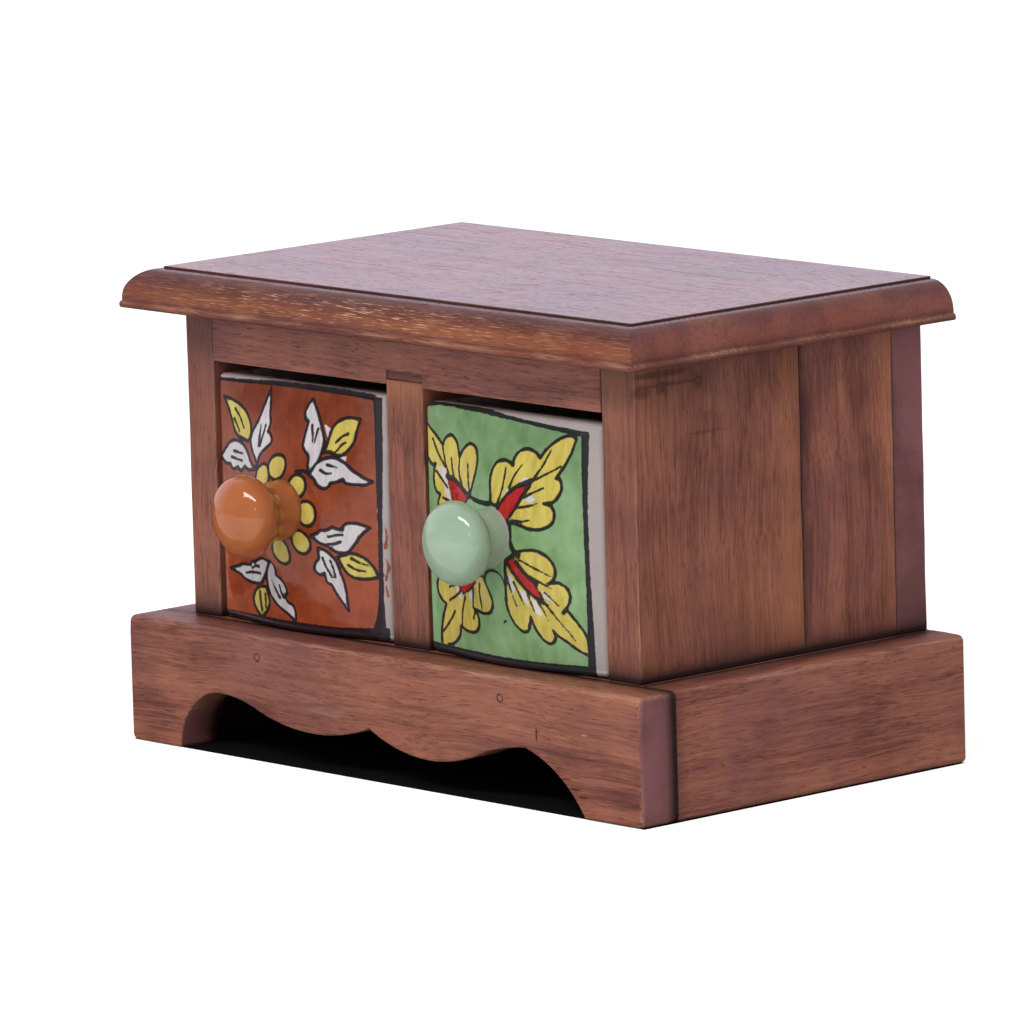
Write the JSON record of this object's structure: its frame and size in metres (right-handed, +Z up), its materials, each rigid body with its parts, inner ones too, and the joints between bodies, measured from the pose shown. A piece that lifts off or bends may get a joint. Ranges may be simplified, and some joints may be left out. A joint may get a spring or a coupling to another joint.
{
  "type": "tabletop drawer chest",
  "caption": "Small stained-wood tabletop chest on a scalloped plinth, with glazed ceramic drawers side by side, each with a flower painting and a round ceramic knob.",
  "frame": {"origin": "middle of the length and depth, on the surface that the chest stands on", "axes": "+X to the viewer's right along the length, the drawers face -Y, +Z up"},
  "size_m": [0.202, 0.1336, 0.13],
  "materials": {
    "stained_wood": "red-brown stain under a semi-gloss coat, worn at the arrises",
    "nail_steel": "dull wire nail, stained over",
    "rust_glaze": "rust-brown glaze with white and yellow leaves, clear gloss",
    "green_glaze": "leaf-green glaze with yellow leaves and red darts, clear gloss",
    "orange_glaze": "orange-brown clear gloss glaze",
    "celadon_glaze": "pale green clear gloss glaze"
  },
  "bodies": {
    "chest": {"top_board": "stained_wood", "top_rail": "stained_wood", "centre_partition": "stained_wood", "back_board": "stained_wood", "floor_board": "stained_wood", "left_side_front_board": "stained_wood", "left_side_rear_board": "stained_wood", "right_side_front_board": "stained_wood", "right_side_rear_board": "stained_wood", "plinth_front": "stained_wood", "plinth_left": "stained_wood", "plinth_right": "stained_wood", "plinth_back": "stained_wood", "rail_nails": "nail_steel", "back_nails": "nail_steel", "plinth_nails": "nail_steel", "floor_nails": "nail_steel"},
    "left_drawer": {"left_drawer": "rust_glaze", "left_knob": "orange_glaze"},
    "right_drawer": {"right_drawer": "green_glaze", "right_knob": "celadon_glaze"}
  },
  "joints": [
    {"name": "left_drawer_slide", "type": "slide", "parent": "chest", "child": "left_drawer", "axis": [0, -1, 0], "range_m": [0, 0.065]},
    {"name": "right_drawer_slide", "type": "slide", "parent": "chest", "child": "right_drawer", "axis": [0, -1, 0], "range_m": [0, 0.065]}
  ]
}
